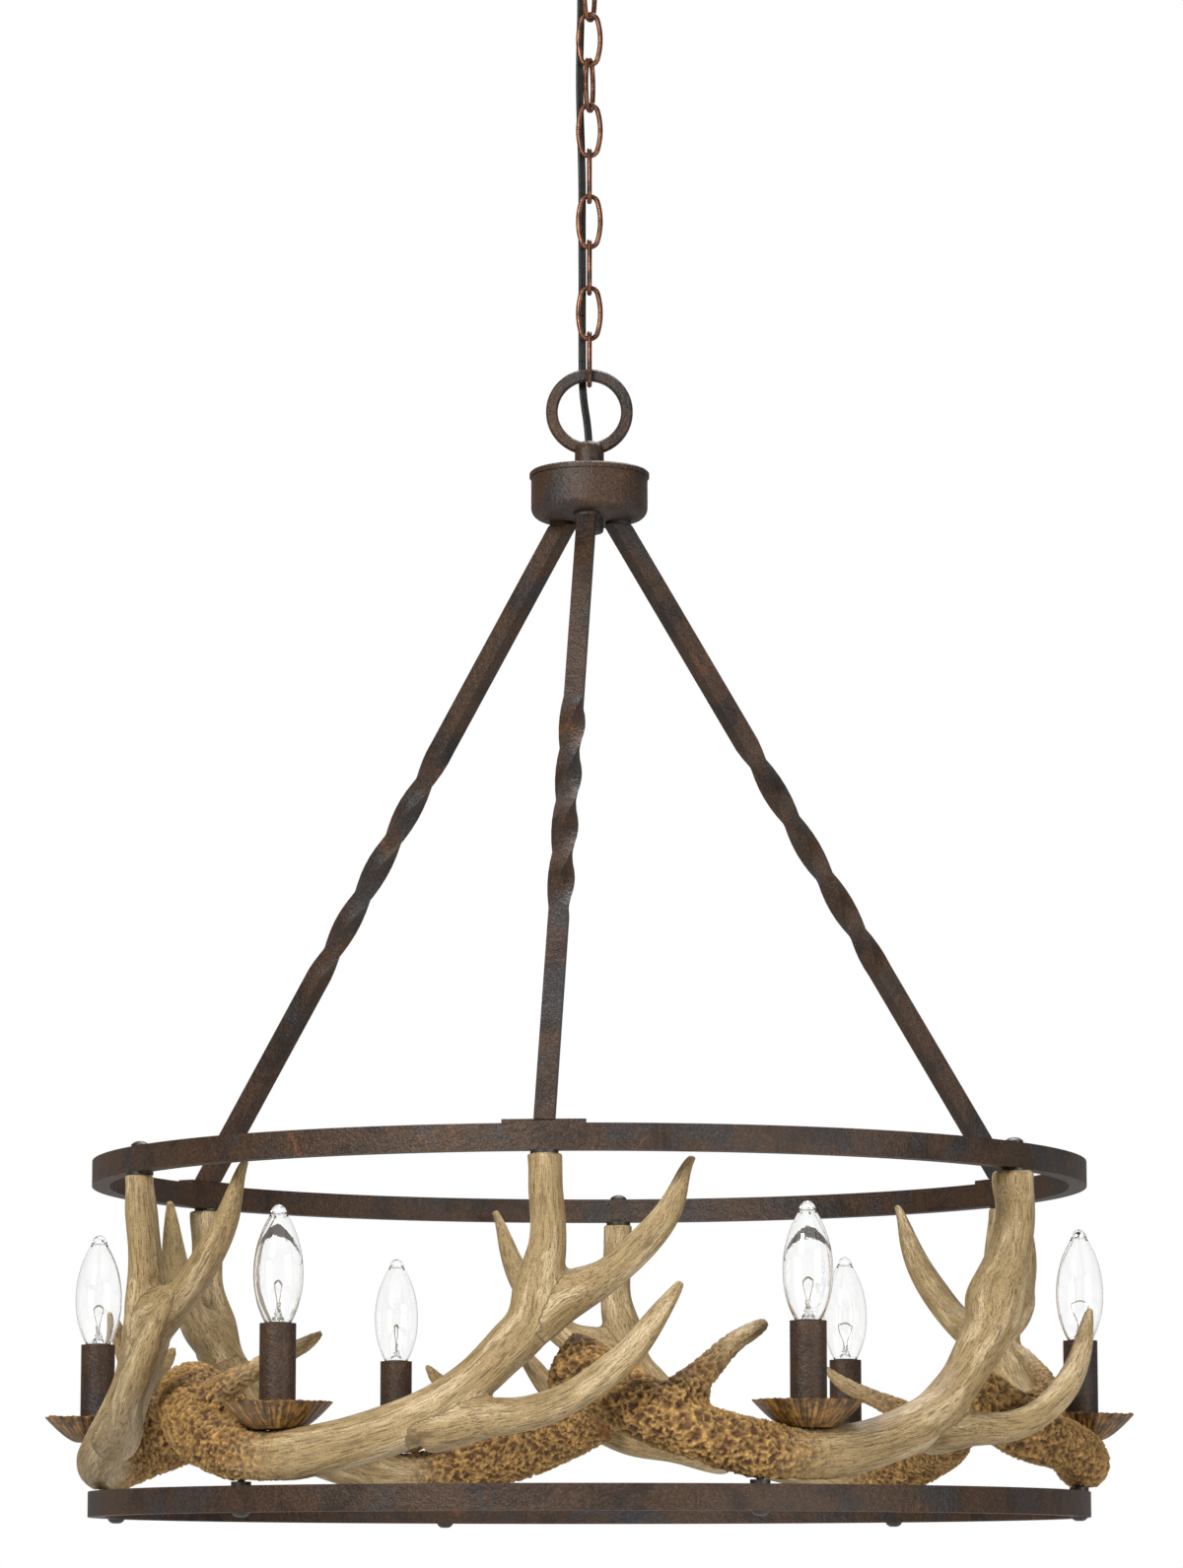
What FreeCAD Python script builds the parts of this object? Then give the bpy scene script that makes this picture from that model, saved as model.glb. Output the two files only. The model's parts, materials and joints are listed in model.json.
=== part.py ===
import FreeCAD, Part
import math
import os
from FreeCAD import Vector

# Antler chandelier, in millimetres.  +Z is up and the origin is the middle of the canopy
# where it meets the ceiling, so the whole fixture hangs below z = 0.  -Y is the front.
# Angles go round the hanging axis from the front (-Y) towards +X.

# ---- ceiling fitting ----
canopy_radius = 62.0
canopy_depth = 26.0
canopy_flat = 15.0
canopy_sheet = 1.2
canopy_lip = 4.0
canopy_swell = (0.8, 0.72)
crossbar_length = 104.0
crossbar_width = 18.0
crossbar_thickness = 2.5
box_screw_spacing = 88.9
box_slot_length = 9.0
box_slot_width = 4.6
nipple_radius = 4.95
nipple_bore = 3.4
thread_clearance = 0.05
hole_clearance = 0.4
collar_radius = 12.5
collar_height = 9.0
loop_hub_radius = 8.0
loop_hub_height = 10.0
loop_mean_radius = 15.0
loop_wire = 4.5
loop_floor = 2.0
loop_flare = 2.5

# ---- chain and cord ----
link_count = 9
link_length = 40.9
link_width = 19.2
link_wire = 3.6
link_end_radius = 6.0
link_joint_slot = 0.35
contact_gap = 0.3
link_yaw = {9: 28.0, 7: 19.0}
cord_diameter = 5.5
cord_route = [
    (0.0, 0.0, -18.0), (0.0, 0.0, -46.0), (-6.2, 5.8, -71.0), (-6.0, 5.5, -100.0),
    (-7.0, 5.2, -134.0), (-6.9, 5.6, -168.0), (-5.7, 5.3, -200.0), (-5.1, 5.6, -232.0),
    (-5.3, 5.3, -262.0), (-5.0, 5.6, -292.0), (-5.2, 5.5, -320.0), (-5.1, 7.2, -350.0),
    (-5.0, 7.6, -378.0), (0.0, 0.0, -410.5), (0.0, 0.0, -431.0),
]

# ---- hanging ring and hub ----
hanger_radius = 30.7
hanger_bar = 8.3
hanger_depth = 6.0
hanger_edge = 1.2
hanger_gap = 1.0
boss_radius = 10.3
boss_height = 21.7
boss_thread = 9.0
lid_radius = 42.3
lid_thickness = 4.0
lid_spigot = 3.0
lid_spigot_wall = 1.5
lid_edge = 1.2
cup_radius = 41.1
cup_height = 29.7
cup_wall = 1.5
cup_corner = 8.0
finial_radius = 10.0
finial_height = 10.0
finial_thread = 7.0
wire_hole = 3.0
wire_nut_radius = 6.0
wire_nut_taper = 0.6
wire_nut_height = 18.0

# ---- twisted bars ----
bar_side = 12.7
bar_bore = 4.5
bar_top_radius = 23.0
collar_disc_radius = 9.2
collar_disc_thickness = 2.5
bar_stud_length = 8.0
bar_nut_width = 14.0
bar_nut_height = 4.0
twist_start = 182.0
twist_length = 190.0
twist_degrees = 360.0
twist_steps = 24
foot_thickness = 2.5
foot_half_angle = 4.5

# ---- rings ----
ring_radius = 343.0
ring_thickness = 12.0
ring_height = 17.0
ring_wall = 1.5
hub_to_upper_ring = 455.7
ring_spacing = 225.2

# ---- antlers, candles and their fixings ----
antler_count = 6
first_angle = -4.4
post_stud_radius = 3.0
post_stud_depth = 34.0
post_stud_room = 0.5
post_washer_radius = 9.0
post_washer_thickness = 2.0
cap_nut_radius = 6.0
cap_nut_height = 3.6
cap_nut_wall = 1.2
cap_nut_dome = 2.2
base_angle = -37.0
base_screw_radius = 2.5
base_screw_depth = 20.0
base_screw_head_radius = 6.0
base_screw_head_height = 3.0
base_washer_radius = 6.5
base_washer_thickness = 2.5
candle_angle = -31.0
candle_seat = 52.0
pan_radius = 36.0
pan_depth = 18.0
pan_floor_radius = 14.5
pan_sheet = 1.6
pan_sag = 0.42
sleeve_radius = 11.75
sleeve_wall = 1.0
sleeve_height = 66.0
socket_gap = 0.4
socket_below_rim = 6.0
socket_bore_depth = 25.0
candle_nipple_depth = 14.0
base_radius = 5.95
base_length = 22.0
base_clearance = 0.08
base_tip_radius = 2.5
base_tip_height = 1.5
bulb_radius = 16.0
bulb_height = 76.0
bulb_belly = 29.0
bulb_neck = 8.4
bulb_crown = 6.0
bulb_wall = 0.8
bulb_tip = 2.5
crown_flat = 0.6

# Centre lines of one casting: angle from its nominal place, height over the lower ring's
# underside, distance out from the middle of the ring's width, and thickness there.
beam_line = [
    (-57.5, 84.0, -39.0, 46.0), (-55.0, 80.0, -34.0, 51.0), (-51.5, 69.5, -25.0, 50.0),
    (-47.0, 56.5, -12.0, 47.0), (-42.0, 46.0, -3.0, 43.0), (-37.0, 38.5, 1.0, 40.0),
    (-31.8, 35.5, 1.0, 35.5), (-26.7, 38.5, 0.0, 32.5), (-21.9, 44.5, -4.0, 31.5),
    (-17.1, 52.5, -8.0, 32.5), (-12.3, 64.5, -11.0, 31.5), (-9.7, 75.0, -12.0, 29.0),
    (-7.2, 86.0, -12.0, 28.0), (-5.1, 97.5, -12.0, 29.0), (-2.8, 110.0, -11.0, 31.5),
    (-1.4, 120.5, -10.0, 33.0),
]
burr_points = 5
post_bend = 50.0
post_trim = 2.0
neck_level = 125.0
neck_reach = 60.0
# The post above the beam: angle, share of the way from the beam's end to the post's top, distance
# out and thickness.
post_line = [
    (-0.9, 0.16, -8.5, 32.0), (-0.1, 0.34, -6.0, 27.0), (0.3, 0.47, -4.0, 23.8), (0.3, 0.64, -2.0, 22.6),
    (0.1, 0.82, -0.5, 22.0),
]
upper_tine_line = [
    (-1.5, 118.0, -10.5, 32.0), (1.8, 133.0, -11.0, 32.0), (4.2, 139.5, -12.0, 27.5),
    (6.4, 146.0, -13.5, 22.5), (8.6, 155.5, -15.0, 20.7), (10.9, 168.0, -16.5, 20.3),
    (12.9, 180.5, -18.0, 18.5), (15.1, 202.5, -20.0, 12.7), (16.9, 223.5, -21.5, 4.5),
]
lower_tine_line = [
    (-14.2, 51.5, -10.0, 31.0), (-11.0, 53.5, -10.5, 30.0), (-8.2, 57.0, -9.0, 28.0),
    (-5.6, 58.5, -6.5, 24.5), (-3.1, 59.5, -2.0, 22.2), (-0.6, 62.5, 4.0, 21.5), (2.3, 69.5, 11.0, 20.3),
    (5.6, 82.5, 18.0, 19.8), (8.2, 96.0, 22.0, 18.5), (10.5, 114.0, 25.0, 15.0), (11.9, 126.5, 26.0, 11.4),
    (13.5, 141.0, 27.0, 5.0),
]
brow_tine_line = [
    (-47.5, 62.0, -11.0, 30.0), (-43.2, 78.0, -14.5, 24.0), (-41.0, 86.0, -19.0, 18.5),
    (-38.7, 93.5, -26.0, 15.0), (-36.5, 99.5, -32.0, 13.0), (-33.7, 107.0, -40.0, 10.8),
    (-32.3, 112.0, -45.0, 7.7), (-31.4, 116.0, -48.0, 3.5),
]
# How each casting differs: degrees its post stands round the ring, girth of its burr, post and
# lower tine, how far its neck bends round and out, the candle's (degrees, distance out), and for
# the burr and each tine's tip (degrees, height, distance out, rise of its middle).
castings = [
    {"post": -0.4, "girth": 0.98, "stem": 1.0, "prong": 1.0, "neck": (0.0, 0.0), "candle": (-0.8, 0.0),
     "burr": (0.0, -5.5, 0.0, 0.0), "upper": (0.0, 0.0, 0.0, 0.0), "lower": (0.0, 0.0, 0.0, 0.0),
     "brow": (-0.9, 0.0, 0.0, 0.0)},
    {"post": 0.5, "girth": 0.9, "stem": 1.2, "prong": 0.93, "neck": (-1.5, 0.0), "candle": (-0.3, 0.0),
     "burr": (-1.5, 10.0, 0.0, 0.0), "upper": (-0.1, 0.3, -13.0, 0.0), "lower": (-0.5, -5.0, -6.0, -4.0),
     "brow": (-1.1, 3.0, 0.0, 10.0)},
    {"post": 2.3, "girth": 0.87, "stem": 1.0, "prong": 1.0, "neck": (0.0, 0.0), "candle": (0.2, 0.0),
     "burr": (0.0, -2.0, -9.0, -6.0), "upper": (-0.3, 6.3, 0.0, -5.0), "lower": (1.5, 2.0, 0.0, 0.0),
     "brow": (-0.5, 2.0, 2.0, 2.0)},
    {"post": 0.7, "girth": 0.9, "stem": 0.97, "prong": 1.0, "neck": (0.0, 0.0), "candle": (1.2, 0.0),
     "burr": (0.5, -8.0, 0.0, 0.0), "upper": (-0.2, 8.3, 0.0, -10.0), "lower": (0.0, -2.0, 2.0, 0.0),
     "brow": (-0.9, -3.0, 0.0, -6.0)},
    {"post": 0.0, "girth": 1.0, "stem": 1.0, "prong": 1.0, "neck": (0.8, 0.0), "candle": (0.7, 0.0),
     "burr": (0.0, -2.0, -1.0, 0.0), "upper": (-0.1, 0.3, -3.0, 0.0), "lower": (1.5, 5.0, -3.5, 0.0),
     "brow": (0.4, -1.0, 0.0, -2.0)},
    {"post": 2.2, "girth": 1.0, "stem": 0.95, "prong": 1.0, "neck": (0.0, 0.0), "candle": (0.0, 6.0),
     "burr": (0.4, -4.0, 0.0, 0.0), "upper": (0.1, 4.3, 0.0, -5.0), "lower": (3.2, 1.0, 0.0, 0.0),
     "brow": (0.0, 1.0, 1.0, 2.0)},
]

# ---- heights that follow from the sizes ----
collar_top = -canopy_depth
loop_hub_top = collar_top - collar_height
loop_hub_bottom = loop_hub_top - loop_hub_height
loop_centre = loop_hub_bottom + loop_wire / 3.0 - loop_mean_radius
chain_top = loop_centre - loop_mean_radius + loop_wire / 2.0 + contact_gap + link_wire
link_pitch = link_length - 2.0 * link_wire - contact_gap
chain_bottom = chain_top - (link_count - 1) * link_pitch - link_length
hanger_top = chain_bottom + link_wire + hanger_gap + hanger_bar
hanger_centre = hanger_top - hanger_radius
boss_top = hanger_centre - hanger_radius + hanger_bar * 1.06
lid_top = boss_top - boss_height
cup_top = lid_top - lid_thickness
cup_bottom = cup_top - cup_height
upper_ring_top = cup_bottom - hub_to_upper_ring
upper_ring_bottom = upper_ring_top - ring_height
lower_ring_bottom = upper_ring_bottom - ring_spacing
lower_ring_top = lower_ring_bottom + ring_height
bar_top = cup_bottom - collar_disc_thickness
bar_foot = upper_ring_top + foot_thickness
post_top = upper_ring_bottom - post_washer_thickness
post_stud_top = upper_ring_top + cap_nut_height - cap_nut_wall
antler_base = lower_ring_top + base_washer_thickness
pan_bottom = lower_ring_bottom + candle_seat
sleeve_bottom = pan_bottom + pan_sheet
sleeve_top = sleeve_bottom + sleeve_height
ring_middle = ring_radius - ring_thickness / 2.0
nominal_angles = [first_angle + 360.0 / antler_count * k for k in range(antler_count)]
post_angles = [angle + casting["post"] for angle, casting in zip(nominal_angles, castings)]
bar_angles = post_angles[0::2]
free_post_angles = post_angles[1::2]
screw_angles = [angle + base_angle for angle in nominal_angles]
candle_places = [(ring_middle + casting["candle"][1], angle + candle_angle + casting["candle"][0])
                 for angle, casting in zip(nominal_angles, castings)]
up = Vector(0, 0, 1)


def polar(radius, angle, z):
    turn = math.radians(angle)
    return Vector(radius * math.sin(turn), -radius * math.cos(turn), z)


def cylinder(radius, bottom, top, at=Vector(0, 0, 0)):
    return Part.makeCylinder(radius, top - bottom, Vector(at.x, at.y, bottom), up)


def tube(outer, inner, bottom, top, at=Vector(0, 0, 0)):
    return cylinder(outer, bottom, top, at).cut(cylinder(inner, bottom - 1, top + 1, at))


def turned(profile):
    """Solid of revolution; profile holds (r, z) corners, or (r, z, mid_r, mid_z) for an arc's end."""
    edges = []
    start = profile[0]
    for corner in profile[1:] + profile[:1]:
        a = Vector(start[0], 0, start[1])
        b = Vector(corner[0], 0, corner[1])
        if len(corner) == 4:
            edges.append(Part.Arc(a, Vector(corner[2], 0, corner[3]), b).toShape())
        elif (b - a).Length > 1e-6:
            edges.append(Part.LineSegment(a, b).toShape())
        start = corner
    return Part.Face(Part.Wire(edges)).revolve(Vector(0, 0, 0), up, 360)


def hexagon(width, bottom, top, at):
    corners = [polar(width / math.sqrt(3), 60 * k, 0) for k in range(7)]
    prism = Part.Face(Part.makePolygon(corners)).extrude(Vector(0, 0, top - bottom))
    prism.translate(Vector(at.x, at.y, bottom))
    return prism


def placed(solid, angles):
    """Copies of a solid made at the front, turned to each angle round the hanging axis."""
    copies = []
    for angle in angles:
        copy = solid.copy()
        copy.rotate(Vector(0, 0, 0), up, angle)
        copies.append(copy)
    return copies


def at_candles(solid):
    """Copies of a solid made on the hanging axis, moved to each candle."""
    copies = []
    for distance, angle in candle_places:
        copy = solid.copy()
        copy.translate(Vector(0, -distance, 0))
        copy.rotate(Vector(0, 0, 0), up, angle)
        copies.append(copy)
    return copies


def save(name, shape):
    shapes = shape if isinstance(shape, list) else [shape]
    solids = [solid for one in shapes for solid in one.Solids]
    whole = solids[0] if len(solids) == 1 else Part.makeCompound(solids)
    whole.exportStep("parts/" + name + ".step")
    print(name, len(solids), "solids", round(whole.Volume), "mm3", "ok" if whole.isValid() else "NOT VALID")


# ---- ceiling fitting ----
def crossbar():
    bar = Part.makeBox(crossbar_length, crossbar_width, crossbar_thickness,
                       Vector(-crossbar_length / 2, -crossbar_width / 2, -crossbar_thickness))
    bar = bar.cut(cylinder(nipple_radius + thread_clearance, -crossbar_thickness - 1, 1))
    reach = (box_slot_length - box_slot_width) / 2
    for side in (-1, 1):
        middle = side * box_screw_spacing / 2
        slot = Part.makeBox(2 * reach, box_slot_width, crossbar_thickness + 2,
                            Vector(middle - reach, -box_slot_width / 2, -crossbar_thickness - 1))
        for end in (-1, 1):
            slot = slot.fuse(cylinder(box_slot_width / 2, -crossbar_thickness - 1, 1,
                                      Vector(middle + end * reach, 0, 0)))
        bar = bar.cut(slot)
    return bar


def canopy():
    def dish(radius, depth, flat):
        swell = (radius * canopy_swell[0], -depth * canopy_swell[1])
        return turned([(0, 0), (radius, 0), (radius, -canopy_lip), (flat, -depth) + swell, (0, -depth)])
    shell = dish(canopy_radius, canopy_depth, canopy_flat)
    inside = dish(canopy_radius - canopy_sheet, canopy_depth - canopy_sheet, canopy_flat - canopy_sheet / 2)
    return shell.cut(inside).cut(cylinder(nipple_radius + hole_clearance, -canopy_depth - 1, 0))


def canopy_nipple():
    return tube(nipple_radius, nipple_bore, loop_hub_bottom + loop_floor, 0)


def collar_nut():
    nut = turned([(0, collar_top), (collar_radius - 1, collar_top), (collar_radius, collar_top - 1),
                  (collar_radius, loop_hub_top + 2), (collar_radius - 2, loop_hub_top), (0, loop_hub_top)])
    return nut.cut(cylinder(nipple_radius + thread_clearance, loop_hub_top - 1, collar_top + 1))


def canopy_loop():
    ring = Part.makeTorus(loop_mean_radius, loop_wire / 2, Vector(0, 0, loop_centre), Vector(0, 1, 0))
    loop = cylinder(loop_hub_radius, loop_hub_bottom, loop_hub_top).fuse(ring)
    thread_end = loop_hub_bottom + loop_floor
    loop = loop.cut(cylinder(nipple_radius + thread_clearance, thread_end, loop_hub_top + 1))
    mouth = Vector(0, 0, loop_hub_bottom - loop_flare - 0.5)
    return loop.cut(Part.makeCone(nipple_bore + loop_flare, nipple_bore, 2 * loop_flare + 1, mouth, up))


# ---- chain and cord ----
def chain_link(number):
    """Bent-wire oval of four arcs with its butt joint in one side; odd links stand edge-on."""
    half_long = (link_length - link_wire) / 2
    half_wide = (link_width - link_wire) / 2
    side_radius = ((half_long ** 2 + half_wide ** 2 - 2 * half_long * link_end_radius)
                   / (2 * (half_wide - link_end_radius)))
    end_centre = half_long - link_end_radius
    side_centre = half_wide - side_radius
    lean = math.atan2(end_centre, -side_centre)
    meet_x = side_centre + side_radius * math.cos(lean)
    meet_z = side_radius * math.sin(lean)
    right = Part.Arc(Vector(meet_x, 0, -meet_z), Vector(half_wide, 0, 0), Vector(meet_x, 0, meet_z))
    top = Part.Arc(Vector(meet_x, 0, meet_z), Vector(0, 0, half_long), Vector(-meet_x, 0, meet_z))
    left = Part.Arc(Vector(-meet_x, 0, meet_z), Vector(-half_wide, 0, 0), Vector(-meet_x, 0, -meet_z))
    bottom = Part.Arc(Vector(-meet_x, 0, -meet_z), Vector(0, 0, -half_long), Vector(meet_x, 0, -meet_z))
    path = Part.Wire([arc.toShape() for arc in (right, top, left, bottom)])
    along = right.toShape().tangentAt(right.toShape().FirstParameter)
    section = Part.Wire(Part.makeCircle(link_wire / 2, Vector(meet_x, 0, -meet_z), along))
    link = path.makePipeShell([section], True, False)
    joint_side = -1 if number == 6 else 1
    slot = Part.makeBox(link_wire * 2, link_wire * 2, link_joint_slot)
    slot.translate(Vector(joint_side * half_wide - link_wire, -link_wire, 0))
    link = link.cut(slot)
    link.rotate(Vector(0, 0, 0), up, (90 if number % 2 else 0) - link_yaw.get(number, 0))
    link.translate(Vector(0, 0, chain_top - (link_count - number) * link_pitch - link_length / 2))
    return link


def cord():
    """Round tube of straight runs joined by tangent arcs, printed with its bend radii."""
    points = [Vector(*point) for point in cord_route]
    edges = []
    radii = []
    start = points[0]
    for before, corner, after in zip(points, points[1:], points[2:]):
        come = (corner - before).normalize()
        leave = (after - corner).normalize()
        half_turn = come.getAngle(leave) / 2
        reach = 0.45 * min((corner - before).Length, (after - corner).Length)
        radius = reach / math.tan(half_turn)
        radii.append(radius)
        first = corner - come * reach
        last = corner + leave * reach
        inward = (leave - come).normalize()
        middle = corner + inward * (radius / math.cos(half_turn) - radius)
        edges.append(Part.LineSegment(start, first).toShape())
        edges.append(Part.Arc(first, middle, last).toShape())
        start = last
    edges.append(Part.LineSegment(start, points[-1]).toShape())
    path = Part.Wire(edges)
    toward = (points[1] - points[0]).normalize()
    section = Part.Wire(Part.makeCircle(cord_diameter / 2, points[0], toward))
    solid = path.makePipeShell([section], True, False)
    straight = math.pi * cord_diameter ** 2 / 4 * path.Length
    print("cord radii", [round(radius) for radius in radii], "length", round(path.Length, 1),
          "volume over section x length", round(solid.Volume / straight, 4))
    return solid


# ---- hanging ring and hub ----
def hanger():
    """Flat-bar ring welded to a domed boss that screws on the hub's nipple."""
    inner = hanger_radius - hanger_bar
    half = hanger_depth / 2
    flank = half - hanger_edge
    ring = turned([(inner, flank), (inner + hanger_edge, half), (hanger_radius - hanger_edge, half),
                   (hanger_radius, flank), (hanger_radius, -flank),
                   (hanger_radius - hanger_edge, -half), (inner + hanger_edge, -half), (inner, -flank)])
    ring.rotate(Vector(0, 0, 0), Vector(1, 0, 0), 90)
    ring.translate(Vector(0, 0, hanger_centre))
    far = 2 * hanger_radius
    ring = ring.cut(Part.makeBox(2 * far, 2 * far, far, Vector(-far, -far, lid_top + 2 - far)))
    boss = turned([(0, lid_top), (boss_radius - 0.8, lid_top), (boss_radius, lid_top + 3),
                   (boss_radius, boss_top - 5), (0, boss_top, boss_radius * 0.78, boss_top - 1.4)])
    body = ring.fuse(boss)
    body = body.cut(cylinder(nipple_radius + thread_clearance, lid_top - 1, lid_top + boss_thread))
    return body.cut(cylinder(nipple_bore, lid_top, boss_top + 1))


def hub_lid():
    lid = turned([(0, cup_top), (lid_radius, cup_top), (lid_radius, lid_top - lid_edge),
                  (lid_radius - lid_edge, lid_top), (0, lid_top)])
    spigot_radius = cup_radius - cup_wall - hole_clearance
    lid = lid.fuse(tube(spigot_radius, spigot_radius - lid_spigot_wall, cup_top - lid_spigot, cup_top))
    return lid.cut(cylinder(nipple_radius + hole_clearance, cup_top - 1, lid_top + 1))


def hub_cup():
    def bowl(radius, bottom, corner):
        swing = corner * (1 - math.sqrt(0.5))
        return turned([(0, cup_top), (radius, cup_top), (radius, bottom + corner),
                       (radius - corner, bottom, radius - swing, bottom + swing), (0, bottom)])
    cup = bowl(cup_radius, cup_bottom, cup_corner)
    cup = cup.cut(bowl(cup_radius - cup_wall, cup_bottom + cup_wall, cup_corner - cup_wall))
    cup = cup.cut(cylinder(nipple_radius + hole_clearance, cup_bottom - 1, cup_top))
    for hole in placed(cylinder(nipple_radius + hole_clearance, cup_bottom - 1, cup_bottom + cup_wall + 1,
                                polar(bar_top_radius, 0, 0)), bar_angles):
        cup = cup.cut(hole)
    return cup


def hub_nipple():
    stem = tube(nipple_radius, nipple_bore, cup_bottom - finial_thread, lid_top + boss_thread)
    middle = (cup_bottom + cup_top) / 2
    return stem.cut(Part.makeCylinder(wire_hole, 40, Vector(-20, 0, middle), Vector(1, 0, 0)))


def hub_finial():
    bottom = cup_bottom - finial_height
    knob = turned([(0, bottom), (finial_radius - 2, bottom),
                   (finial_radius, bottom + 2, finial_radius - 0.6, bottom + 0.6),
                   (finial_radius, cup_bottom), (0, cup_bottom)])
    thread_end = cup_bottom - finial_thread - 1
    return knob.cut(cylinder(nipple_radius + thread_clearance, thread_end, cup_bottom + 1))


def wire_nuts():
    floor = cup_bottom + cup_wall + contact_gap
    place = polar(bar_top_radius + 2, 0, floor)
    nut = Part.makeCone(wire_nut_radius, wire_nut_radius * wire_nut_taper, wire_nut_height, place, up)
    return placed(nut, [angle + 60 for angle in bar_angles])


# ---- twisted bars ----
def twisted_bar():
    """Square bar from hub to ring with one full turn in its middle; made at the front."""
    head = polar(bar_top_radius, 0, bar_top)
    foot = polar(ring_middle, 0, bar_foot)
    along = (foot - head).normalize()
    across = Vector(1, 0, 0)
    length = (foot - head).Length
    overrun = bar_side
    half = bar_side / 2

    def section(distance, twist):
        centre = head + along * distance
        turn = FreeCAD.Rotation(along, twist)
        corners = []
        for k in range(5):
            spoke = FreeCAD.Rotation(along, 45 + 90 * k).multVec(across) * (half * math.sqrt(2))
            corners.append(centre + turn.multVec(spoke))
        return Part.makePolygon(corners)

    top = Part.makeLoft([section(-overrun, 0), section(twist_start, 0)], True, True)
    low = Part.makeLoft([section(twist_start + twist_length, 0), section(length + overrun, 0)], True, True)
    shares = [k / twist_steps for k in range(twist_steps + 1)]
    middle = Part.makeLoft([section(twist_start + twist_length * share, twist_degrees * share)
                            for share in shares], True, True)
    bar = top.fuse([middle, low])
    far = 2 * ring_radius
    slab = Part.makeBox(far, far, bar_top - bar_foot, Vector(-far / 2, -far, bar_foot))
    bar = bar.common(slab)
    disc = cylinder(collar_disc_radius, bar_top, cup_bottom, head)
    stud = cylinder(nipple_radius, cup_bottom, cup_bottom + bar_stud_length, head)
    bar = bar.fuse([disc, stud, foot_plate()])
    bore = Part.makeCylinder(bar_bore, length + 2 * overrun, head - along * overrun, along)
    bar = bar.cut(bore.common(slab))
    bar = bar.cut(cylinder(nipple_bore, bar_top - 1, cup_bottom + bar_stud_length + 1, head))
    stud_end = post_stud_top + post_stud_room
    return bar.cut(cylinder(post_stud_radius + thread_clearance, upper_ring_top - 1, stud_end, foot))


def ring_piece(inner, outer, bottom, top, half_angle):
    """Part of a flat ring centred on the front."""
    wedge = Part.makePolygon([Vector(0, 0, bottom), polar(outer * 2, -half_angle, bottom),
                              polar(outer * 2, half_angle, bottom), Vector(0, 0, bottom)])
    return tube(outer, inner, bottom, top).common(Part.Face(wedge).extrude(Vector(0, 0, top - bottom)))


def foot_plate():
    return ring_piece(ring_radius - ring_thickness, ring_radius, upper_ring_top, bar_foot, foot_half_angle)


def bar_nuts():
    floor = cup_bottom + cup_wall
    place = polar(bar_top_radius, 0, 0)
    nut = hexagon(bar_nut_width, floor, floor + bar_nut_height, place)
    nut = nut.cut(cylinder(nipple_radius + thread_clearance, floor - 1, floor + bar_nut_height + 1, place))
    return placed(nut, bar_angles)


# ---- rings ----
def hollow_ring(bottom):
    inner = ring_radius - ring_thickness
    outside = tube(ring_radius, inner, bottom, bottom + ring_height)
    inside = tube(ring_radius - ring_wall, inner + ring_wall, bottom + ring_wall,
                  bottom + ring_height - ring_wall)
    return outside.cut(inside)


def upper_ring():
    ring = hollow_ring(upper_ring_bottom)
    holes = placed(cylinder(post_stud_radius + hole_clearance / 2, upper_ring_bottom - 1, upper_ring_top + 1,
                            polar(ring_middle, 0, 0)), post_angles)
    return ring.cut(Part.makeCompound(holes))


def lower_ring():
    ring = hollow_ring(lower_ring_bottom)
    holes = placed(cylinder(base_screw_radius + hole_clearance / 2, lower_ring_bottom - 1, lower_ring_top + 1,
                            polar(ring_middle, 0, 0)), screw_angles)
    return ring.cut(Part.makeCompound(holes))


# ---- antlers ----
def shifted(line, shift, turn=0.0):
    """A centre line with its last point moved by shift, the rest following, and its middle raised."""
    degrees, height, outward, rise = shift
    points = []
    for k, (angle, level, distance, thickness) in enumerate(line):
        share = k / (len(line) - 1)
        follow = share ** 1.5
        lift = height * follow + rise * math.sin(math.pi * share)
        points.append((angle + turn + degrees * follow, level + lift, distance + outward * follow, thickness))
    return points


def necked(point, bend):
    """A point of the beam or a tine, moved with the bend of the neck by how near it is in height."""
    angle, level, distance, thickness = point
    share = max(1 - ((level - neck_level) / neck_reach) ** 2, 0.0)
    return (angle + bend[0] * share, level, distance + bend[1] * share, thickness)


def beam(casting):
    """Base and post: the burr's end is moved, the girths changed and the post turned along the ring."""
    burr = [(angle, level, distance, thickness * casting["girth"])
            for angle, level, distance, thickness in beam_line[:burr_points]]
    burr = shifted(burr[::-1], casting["burr"])[::-1]
    rest = []
    for angle, level, distance, thickness in beam_line[burr_points:]:
        share = min(max((level - beam_line[burr_points][1]) / post_bend, 0.0), 1.0)
        rest.append((angle + casting["post"] * share, level, distance, thickness))
    foot = beam_line[-1][1]
    rise = post_top - lower_ring_bottom - foot
    post = [(angle + casting["post"], foot + rise * share, distance, thickness * casting["stem"])
            for angle, share, distance, thickness in post_line]
    top = (casting["post"], foot + rise + post_trim, 0.0, post_line[-1][3] * casting["stem"])
    return burr + [necked(point, casting["neck"]) for point in rest + post] + [top]


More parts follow.
